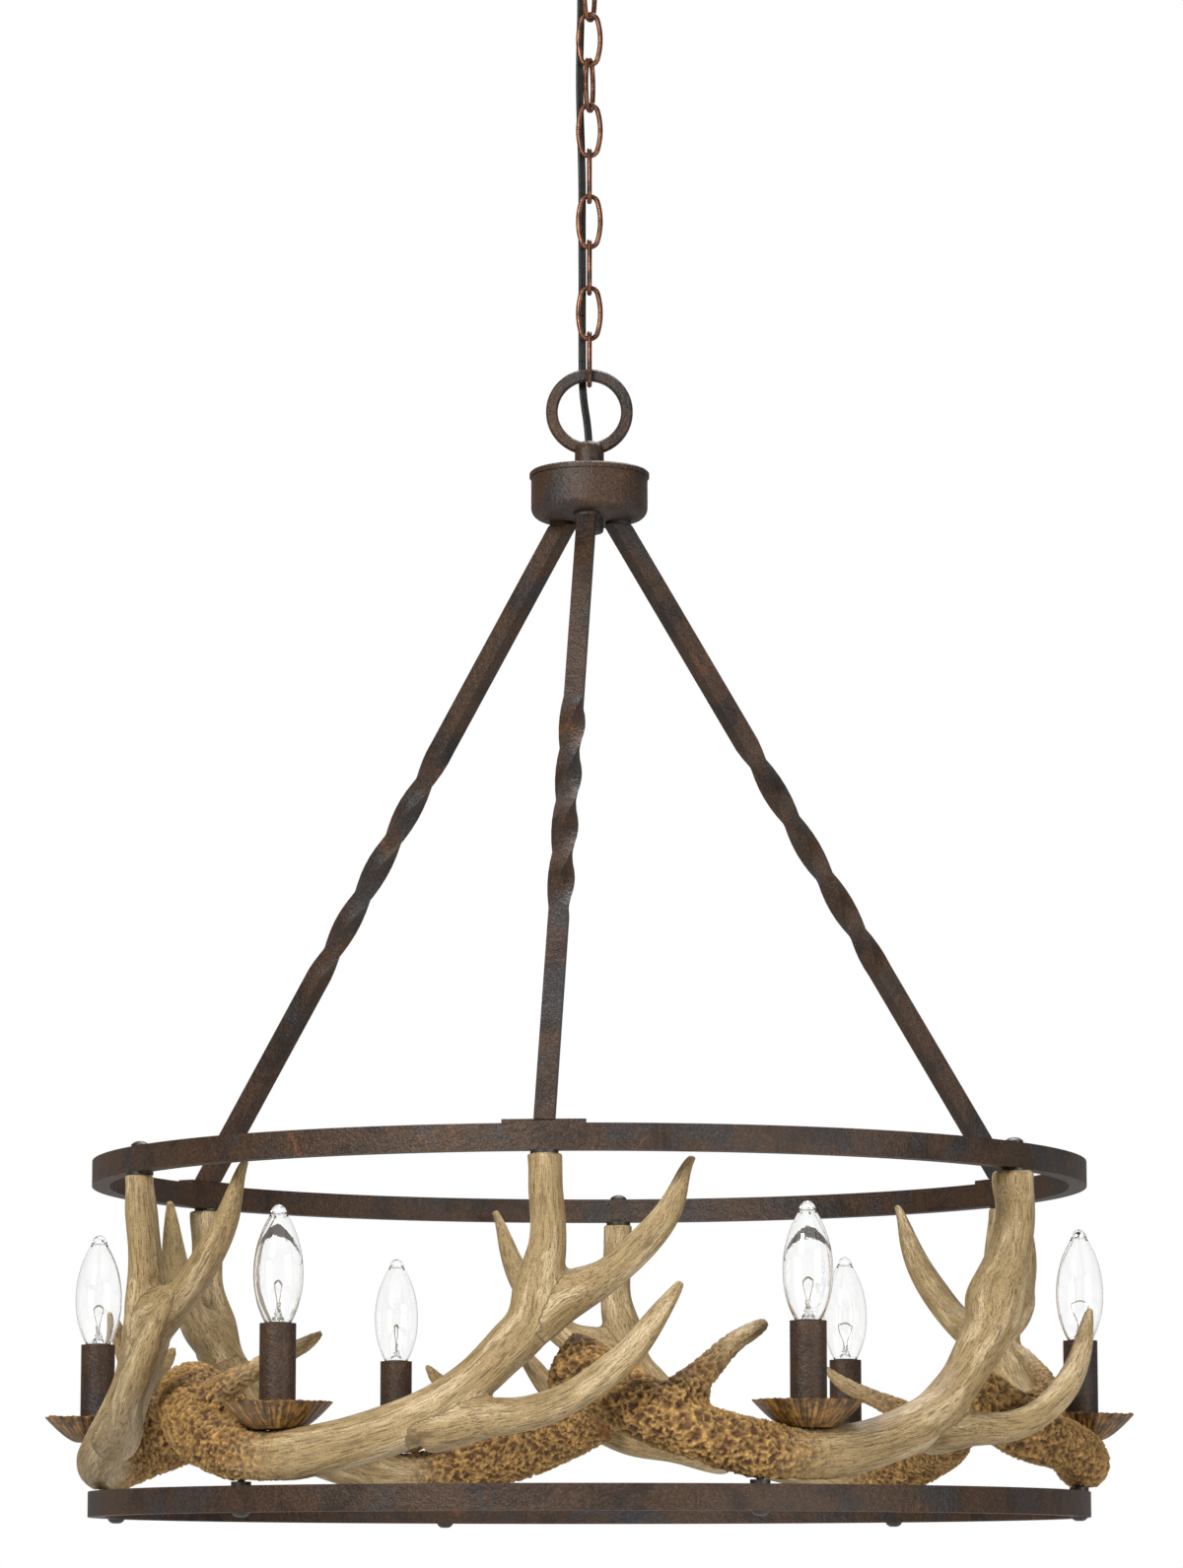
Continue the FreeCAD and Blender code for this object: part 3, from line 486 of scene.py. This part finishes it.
# degrees from the casting's own place, height over the lower ring's underside, distance out from
# the middle of the ring and thickness, in mm; the post's second value is a share of its height
antlerLines = {
    "beam": [
        (-57.5, 84.0, -39.0, 46.0), (-55.0, 80.0, -34.0, 51.0), (-51.5, 69.5, -25.0, 50.0),
        (-47.0, 56.5, -12.0, 47.0), (-42.0, 46.0, -3.0, 43.0), (-37.0, 38.5, 1.0, 40.0),
        (-31.8, 35.5, 1.0, 35.5), (-26.7, 38.5, 0.0, 32.5), (-21.9, 44.5, -4.0, 31.5),
        (-17.1, 52.5, -8.0, 32.5), (-12.3, 64.5, -11.0, 31.5), (-9.7, 75.0, -12.0, 29.0),
        (-7.2, 86.0, -12.0, 28.0), (-5.1, 97.5, -12.0, 29.0), (-2.8, 110.0, -11.0, 31.5),
        (-1.4, 120.5, -10.0, 33.0),
    ],
    "post": [
        (-0.9, 0.16, -8.5, 32.0), (-0.1, 0.34, -6.0, 27.0), (0.3, 0.47, -4.0, 23.8), (0.3, 0.64, -2.0, 22.6),
        (0.1, 0.82, -0.5, 22.0), (0.0, 1.0, 0.0, 22.0),
    ],
    "upper": [
        (-1.5, 118.0, -10.5, 32.0), (1.8, 133.0, -11.0, 32.0), (4.2, 139.5, -12.0, 27.5),
        (6.4, 146.0, -13.5, 22.5), (8.6, 155.5, -15.0, 20.7), (10.9, 168.0, -16.5, 20.3),
        (12.9, 180.5, -18.0, 18.5), (15.1, 202.5, -20.0, 12.7), (16.9, 223.5, -21.5, 4.5),
    ],
    "lower": [
        (-14.2, 51.5, -10.0, 31.0), (-11.0, 53.5, -10.5, 30.0), (-8.2, 57.0, -9.0, 28.0),
        (-5.6, 58.5, -6.5, 24.5), (-3.1, 59.5, -2.0, 22.2), (-0.6, 62.5, 4.0, 21.5), (2.3, 69.5, 11.0, 20.3),
        (5.6, 82.5, 18.0, 19.8), (8.2, 96.0, 22.0, 18.5), (10.5, 114.0, 25.0, 15.0),
        (11.9, 126.5, 26.0, 11.4), (13.5, 141.0, 27.0, 5.0),
    ],
    "brow": [
        (-47.5, 62.0, -11.0, 30.0), (-43.2, 78.0, -14.5, 24.0), (-41.0, 86.0, -19.0, 18.5),
        (-38.7, 93.5, -26.0, 15.0), (-36.5, 99.5, -32.0, 13.0), (-33.7, 107.0, -40.0, 10.8),
        (-32.3, 112.0, -45.0, 7.7), (-31.4, 116.0, -48.0, 3.5),
    ],
}

# how each casting's post, neck, girths, burr and tine tips differ
castings = [
    {"post": -0.4, "girth": 0.98, "stem": 1.0, "prong": 1.0, "neck": 0.0, "beam": (0.0, -5.5, 0.0, 0.0),
     "upper": (0.0, 0.0, 0.0, 0.0), "lower": (0.0, 0.0, 0.0, 0.0), "brow": (-0.9, 0.0, 0.0, 0.0)},
    {"post": 0.5, "girth": 0.9, "stem": 1.2, "prong": 0.93, "neck": -1.5, "beam": (-1.5, 10.0, 0.0, 0.0),
     "upper": (-0.1, 0.3, -13.0, 0.0), "lower": (-0.5, -5.0, -6.0, -4.0), "brow": (-1.1, 3.0, 0.0, 10.0)},
    {"post": 2.3, "girth": 0.87, "stem": 1.0, "prong": 1.0, "neck": 0.0, "beam": (0.0, -2.0, -9.0, -6.0),
     "upper": (-0.3, 6.3, 0.0, -5.0), "lower": (1.5, 2.0, 0.0, 0.0), "brow": (-0.5, 2.0, 2.0, 2.0)},
    {"post": 0.7, "girth": 0.9, "stem": 0.97, "prong": 1.0, "neck": 0.0, "beam": (0.5, -8.0, 0.0, 0.0),
     "upper": (-0.2, 8.3, 0.0, -10.0), "lower": (0.0, -2.0, 2.0, 0.0), "brow": (-0.9, -3.0, 0.0, -6.0)},
    {"post": 0.0, "girth": 1.0, "stem": 1.0, "prong": 1.0, "neck": 0.8, "beam": (0.0, -2.0, -1.0, 0.0),
     "upper": (-0.1, 0.3, -3.0, 0.0), "lower": (1.5, 5.0, -3.5, 0.0), "brow": (0.4, -1.0, 0.0, -2.0)},
    {"post": 2.2, "girth": 1.0, "stem": 0.95, "prong": 1.0, "neck": 0.0, "beam": (0.4, -4.0, 0.0, 0.0),
     "upper": (0.1, 4.3, 0.0, -5.0), "lower": (3.2, 1.0, 0.0, 0.0), "brow": (0.0, 1.0, 1.0, 2.0)},
]

antlerSkin = {
    "firstAngle": -4.4, "burrPoints": 5, "postBend": 50.0, "neckLevel": 125.0, "neckReach": 60.0,
    "voxel": 1.25 * mm, "smoothing": 5, "crotchSmoothing": 90, "samples": 80, "swell": 0.5 * mm,
    "burrEnds": (-38.0, -27.0), "coralSize": 4.8 * mm, "coralDepth": 2.3 * mm, "chipSize": 2.4 * mm,
    "chipDepth": 0.9 * mm, "lumpSize": 15.0 * mm, "lumpDepth": 1.4 * mm, "fluteDepth": 0.9 * mm,
    "fluteWidth": 6.0 * mm,
}


# a line with its last point moved, the rest following, and its middle raised
def shifted(line, shift, turn=0.0):
    degrees, height, outward, rise = shift
    rows = []
    for k, (angle, level, distance, thickness) in enumerate(line):
        share = k / (len(line) - 1)
        follow = share ** 1.5
        lifted = level + height * follow + rise * math.sin(math.pi * share)
        rows.append((angle + turn + degrees * follow, lifted, distance + outward * follow, thickness))
    return rows


def castingLines(casting, s):
    first, last = s["burrPoints"], antlerLines["beam"][-1][1]
    burr = [(a, level, out, wide * casting["girth"]) for a, level, out, wide in antlerLines["beam"][:first]]
    rows = shifted(burr[::-1], casting["beam"])[::-1]
    for a, level, out, wide in antlerLines["beam"][first:]:
        share = min(max((level - antlerLines["beam"][first][1]) / s["postBend"], 0), 1)
        rows.append((a + casting["post"] * share, level, out, wide))
    for a, share, out, wide in antlerLines["post"]:
        rows.append((a + casting["post"], last + (postRise - last) * share, out, wide * casting["stem"]))
    near = [max(1 - ((row[1] - s["neckLevel"]) / s["neckReach"]) ** 2, 0) for row in rows]
    beam = [(row[0] + casting["neck"] * share, *row[1:]) if k >= first else row
            for k, (row, share) in enumerate(zip(rows, near))]
    prong = [(a, level, out, wide * casting["prong"]) for a, level, out, wide in antlerLines["lower"]]
    return {"beam": beam, "upper": shifted(antlerLines["upper"], casting["upper"], casting["post"]),
            "lower": shifted(prong, casting["lower"]), "brow": shifted(antlerLines["brow"], casting["brow"])}


# even samples along one limb, with its radius and its angle round the ring
def limbSamples(line, turn, s):
    rows = []
    for angle, level, out, wide in line:
        spot = polar(ringMiddle + out * mm, angle + turn, ringFloor + level * mm)
        rows.append((*spot, wide * mm / 2, angle))
    rows = np.array(rows)
    steps = np.linalg.norm(np.diff(rows[:, :3], axis=0), axis=1)
    reach = np.concatenate([[0], np.cumsum(steps)])
    even = np.linspace(0, reach[-1], s["samples"])
    full = np.column_stack([np.interp(even, reach, rows[:, c]) for c in range(5)])
    along = np.gradient(full[:, :3], axis=0)
    along /= np.linalg.norm(along, axis=1)[:, None]
    return {"place": full[:, :3], "radius": full[:, 3], "angle": full[:, 4], "reach": even, "along": along}


# for each point: its place on the nearest limb, how rough it is, how near a fork and whether on the sawn end
def limbPlaces(points, limbs, s):
    best = np.full(len(points), 1e9)
    second = np.full(len(points), 1e9)
    place = np.zeros((len(points), 3))
    burr = np.zeros(len(points))
    end = np.zeros(len(points))
    chunk = 20000
    for order, (name, limb) in enumerate(limbs.items()):
        gap = np.empty(len(points))
        near = np.empty(len(points), int)
        for start in range(0, len(points), chunk):
            part = points[start:start + chunk]
            far = np.linalg.norm(part[:, None, :] - limb["place"][None], axis=2) / limb["radius"][None]
            near[start:start + chunk] = far.argmin(axis=1)
            gap[start:start + chunk] = far.min(axis=1)
        along = limb["along"][near]
        offset = points - limb["place"][near]
        outward = points * np.array([1, 1, 0])
        outward /= np.linalg.norm(outward, axis=1)[:, None]
        side = np.cross(along, outward)
        side /= np.linalg.norm(side, axis=1)[:, None]
        past = (offset * along).sum(axis=1)
        reach = limb["reach"][near] + past
        local = np.column_stack([(offset * side).sum(axis=1), (offset * np.cross(side, along)).sum(axis=1),
                                 reach + order * 1.7])
        rough = np.zeros(len(points))
        sawn = np.zeros(len(points))
        if name == "beam":
            rough = 1 - smoothStep(limb["angle"][near], *s["burrEnds"])
            wide = np.linalg.norm(offset - along * past[:, None], axis=1) / limb["radius"][near]
            sawn = (reach < 1.2 * mm) * (1 - smoothStep(wide, 0.78, 0.94))
        elif name == "brow":
            rough = 0.95 - 0.75 * smoothStep(reach / limb["reach"][-1], 0.15, 0.85)
        closer = gap < best
        second = np.where(closer, best, np.minimum(second, gap))
        best = np.where(closer, gap, best)
        place[closer] = local[closer]
        burr[closer] = rough[closer]
        end[closer] = sawn[closer]
    return place, burr, second - best, end


coralNoise = {"bendSize": 0.7, "bend": 0.45, "steepness": 2.7}


# ragged crests bent by noise: 0 on a crest, 1 in a crevice
def coralHeight(point, size):
    bend = noise.noise_vector(point / (size * coralNoise["bendSize"])) * coralNoise["bend"]
    return min(abs(noise.noise(point / size + bend)) * coralNoise["steepness"], 1.0)


def evenMesh(holder):
    bpy.context.collection.objects.link(holder)
    ready = holder.evaluated_get(bpy.context.evaluated_depsgraph_get())
    mesh = bpy.data.meshes.new_from_object(ready)
    bpy.data.objects.remove(holder)
    return mesh


def vertexValues(mesh, name):
    values = np.empty(len(mesh.vertices) * 3)
    mesh.vertices.foreach_get(name, values)
    return values.reshape(-1, 3)


def dressAntler(number, s):
    name = "antler_%d" % (number + 1)
    source = bpy.data.objects.new("source", nodes[name].data.copy())
    remesh = source.modifiers.new("skin", "REMESH")
    remesh.mode = "VOXEL"
    remesh.voxel_size = s["voxel"]
    even = source.modifiers.new("even", "SMOOTH")
    even.factor = 0.5
    even.iterations = s["smoothing"]
    mesh = evenMesh(source)
    limbs = {limb: limbSamples(line, s["firstAngle"] + 60 * number, s)
             for limb, line in castingLines(castings[number], s).items()}
    place, burr, apart, end = limbPlaces(vertexValues(mesh, "co"), limbs, s)

    blendIn = bpy.data.objects.new("blendIn", mesh)
    group = blendIn.vertex_groups.new(name="crotch")
    weight = 1 - smoothStep(apart, 0.12, 0.55)
    for k in np.nonzero((weight > 0.02) & (burr < 0.5))[0]:
        group.add([int(k)], float(weight[k]), "REPLACE")
    soften = blendIn.modifiers.new("crotch", "SMOOTH")
    soften.vertex_group = "crotch"
    soften.iterations = s["crotchSmoothing"]
    mesh = evenMesh(blendIn)
    points = vertexValues(mesh, "co")
    normals = vertexValues(mesh, "normal")

    hollow = np.zeros(len(points))
    sink = np.full(len(points), -s["swell"])
    seed = Vector((number * 3.1, number * 1.7, 0))
    for k in range(len(points)):
        spot = Vector(points[k])
        if burr[k] > 0.02:
            deep = coralHeight(spot, s["coralSize"]) * (1 - 0.7 * end[k])
            chip = coralHeight(spot, s["chipSize"])
            lump = 0.5 + 0.5 * noise.noise(spot / s["lumpSize"] + seed)
            hollow[k] = 0.7 * deep + 0.3 * chip
            sink[k] += burr[k] * (deep * s["coralDepth"] + chip * s["chipDepth"] + lump * s["lumpDepth"])
        if burr[k] < 0.98:
            flute = Vector((place[k, 0], place[k, 1], place[k, 2] * 0.09)) / s["fluteWidth"] + seed
            sink[k] += (1 - burr[k]) * (0.5 + 0.5 * noise.noise(flute)) * s["fluteDepth"]
    points = points - normals * sink[:, None]
    mesh.vertices.foreach_set("co", points.reshape(-1))
    mesh.attributes.new("limbPlace", "FLOAT_VECTOR", "POINT").data.foreach_set("vector", place.reshape(-1))
    for label, values in (("burrShare", burr), ("hollow", hollow), ("endFace", end)):
        mesh.attributes.new(label, "FLOAT", "POINT").data.foreach_set("value", values)
    mesh.materials.clear()
    mesh.update()
    piece = newPiece("antlerCasting_%d" % (number + 1), mesh, "fixture", "antler_resin")
    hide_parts(name)
    return len(points)


for number in range(6):
    print("antler", number + 1, "of", dressAntler(number, antlerSkin), "points")


panShape = {
    "around": 240, "rings": 22, "floor": 14.2 * mm, "rim": 36.0 * mm, "hole": 5.6 * mm, "depth": 17.6 * mm,
    "sheet": 1.2 * mm, "scallops": 11, "scallopDepth": 1.3 * mm, "ribs": 38, "ribDepth": 0.4 * mm,
    "rimWave": 1.8 * mm, "lift": 0.15 * mm, "ragged": 1.3 * mm, "flare": 1.45,
}


# how far the flare has risen
def panHeight(share, s):
    return s["depth"] * share ** s["flare"]


def dressPan(number, s):
    low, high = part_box("drip_pan_%d" % number)
    middle = np.array([(low[0] + high[0]) / 2, (low[1] + high[1]) / 2, low[2]])
    shares = np.linspace(0, 1, s["rings"])
    corners, place = [], []
    for skin in (0, 1):
        for row, share in enumerate([-1.0] + list(shares)):
            for k in range(s["around"]):
                turn = 2 * math.pi * k / s["around"]
                facing = Vector((math.cos(turn), math.sin(turn), number * 2.3))
                wander = noise.noise(facing * 2.2)
                radius, height = s["hole"], 0.0
                if share >= 0:
                    edge = share ** 3
                    leaf = abs(math.sin(s["scallops"] * (turn + 0.12 * wander) / 2))
                    radius = s["floor"] + (s["rim"] - s["floor"]) * share
                    torn = max(noise.noise(facing * 6), 0.0) + 0.4 * max(noise.noise(facing * 17), 0.0)
                    radius -= edge * (s["scallopDepth"] * (1 - leaf) + s["ragged"] * torn)
                    height = panHeight(share, s)
                    height -= edge * s["rimWave"] * (0.5 + 0.5 * noise.noise(facing * 3.1))
                    rib = 0.5 + 0.5 * math.sin(s["ribs"] * (turn + 0.05 * noise.noise(facing * 5)))
                    height += s["ribDepth"] * rib * min(share * 4, 1.0)
                lift = s["lift"] + skin * s["sheet"] * (1 - 0.45 * max(share, 0))
                spot = np.array([radius * math.cos(turn), radius * math.sin(turn), height + lift])
                corners.append(tuple(middle + spot))
                place.append((turn * 0.03, radius, height))
    rows, n = s["rings"] + 1, s["around"]
    faces = []
    for skin in (0, 1):
        base = skin * rows * n
        for row in range(rows - 1):
            for k in range(n):
                a, b = base + row * n + k, base + row * n + (k + 1) % n
                quad = (a, b, b + n, a + n)
                faces.append(quad if skin else quad[::-1])
    for k in range(n):
        j = (k + 1) % n
        outer = (rows - 1) * n
        faces.append((outer + k, outer + j, rows * n + outer + j, rows * n + outer + k))
        faces.append((j, k, rows * n + k, rows * n + j))
    mesh = bpy.data.meshes.new("leafPan")
    mesh.from_pydata(corners, [], faces)
    shape = bmesh.new()
    shape.from_mesh(mesh)
    bmesh.ops.recalc_face_normals(shape, faces=shape.faces)
    shape.to_mesh(mesh)
    shape.free()
    spots = mesh.attributes.new("panPlace", "FLOAT_VECTOR", "POINT")
    spots.data.foreach_set("vector", np.array(place).reshape(-1))
    piece = newPiece("leafPan_%d" % number, mesh, "fixture", "pan_resin")
    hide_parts("drip_pan_%d" % number)


for number in range(1, 7):
    dressPan(number, panShape)
print("pans made")


bulbInside = {
    "floor": 1.0 * mm, "stemTop": 13.0 * mm, "stemWide": 4.2 * mm, "stemThin": 1.9 * mm, "spread": 6.2 * mm,
    "wireTop": 25.0 * mm, "wire": 0.28 * mm, "coil": 0.55 * mm, "turns": 16, "sag": 2.2 * mm,
    "stemSteps": 24, "leadSteps": 14, "leadGap": 0.8 * mm, "leadFoot": 0.55, "perTurn": 10, "wireSides": 6,
}


def roundOutline(radius, sides):
    return [(radius * math.cos(2 * math.pi * k / sides), radius * math.sin(2 * math.pi * k / sides))
            for k in range(sides)]


# the stem, its two lead wires and the coiled filament between them
def fillBulb(number, s):
    low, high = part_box("bulb_glass_%d" % number)
    middle = np.array([(low[0] + high[0]) / 2, (low[1] + high[1]) / 2, low[2]])
    body = "bulb_%d" % number
    heights = np.linspace(s["floor"], s["stemTop"], s["stemSteps"])
    share = (heights - s["floor"]) / (s["stemTop"] - s["floor"])
    path = middle + np.column_stack([np.zeros((s["stemSteps"], 2)), heights])
    scales = (s["stemWide"] + (s["stemThin"] - s["stemWide"]) * smoothStep(share, 0, 0.7)) / s["stemWide"]
    stem = sweep("bulbStem", path, roundOutline(s["stemWide"], s["stemSteps"]), (1.0, 0.0, 0.0), scales)
    newPiece("bulbStem_%d" % number, stem, body, "clear_glass")

    turn = math.radians(25 + 47 * number)
    across = np.array([math.cos(turn), math.sin(turn), 0.0])
    parts = []
    for side in (-1, 1):
        rise = np.linspace(0, 1, s["leadSteps"])
        out = side * (s["leadGap"] + (s["spread"] - s["leadGap"]) * smoothStep(rise, 0.1, 1.0))
        foot = s["stemTop"] * s["leadFoot"]
        lift = foot + (s["wireTop"] - foot) * rise
        line = middle + across * out[:, None] + np.array([0, 0, 1.0]) * lift[:, None]
        parts.append((line, s["wire"], rise ** 6))
    steps = s["turns"] * s["perTurn"]
    share = np.linspace(0, 1, steps)
    out = (share * 2 - 1) * s["spread"]
    swing = share * s["turns"] * 2 * math.pi
    beside = np.array([-across[1], across[0], 0.0])
    lift = s["wireTop"] + s["sag"] * np.sin(math.pi * share) + s["coil"] * np.sin(swing)
    line = (middle + across * out[:, None] + beside * (s["coil"] * np.cos(swing))[:, None]
            + np.array([0, 0, 1.0]) * lift[:, None])
    parts.append((line, s["wire"] * 0.6, np.ones(steps)))
    wires = bmesh.new()
    heat = []
    for line, radius, warm in parts:
        bit = sweep("wire", line, roundOutline(radius, s["wireSides"]), (0.3, 0.5, 0.81))
        wires.from_mesh(bit)
        heat += list(np.repeat(warm, s["wireSides"]))
    mesh = bpy.data.meshes.new("bulbFilament")
    wires.to_mesh(mesh)
    wires.free()
    mesh.attributes.new("heat", "FLOAT", "POINT").data.foreach_set("value", heat)
    newPiece("bulbFilament_%d" % number, mesh, body, "base_brass", finish=hotWire)


hotWire = glowingWire(filament)
for number in range(1, 7):
    fillBulb(number, bulbInside)
print("bulbs filled")
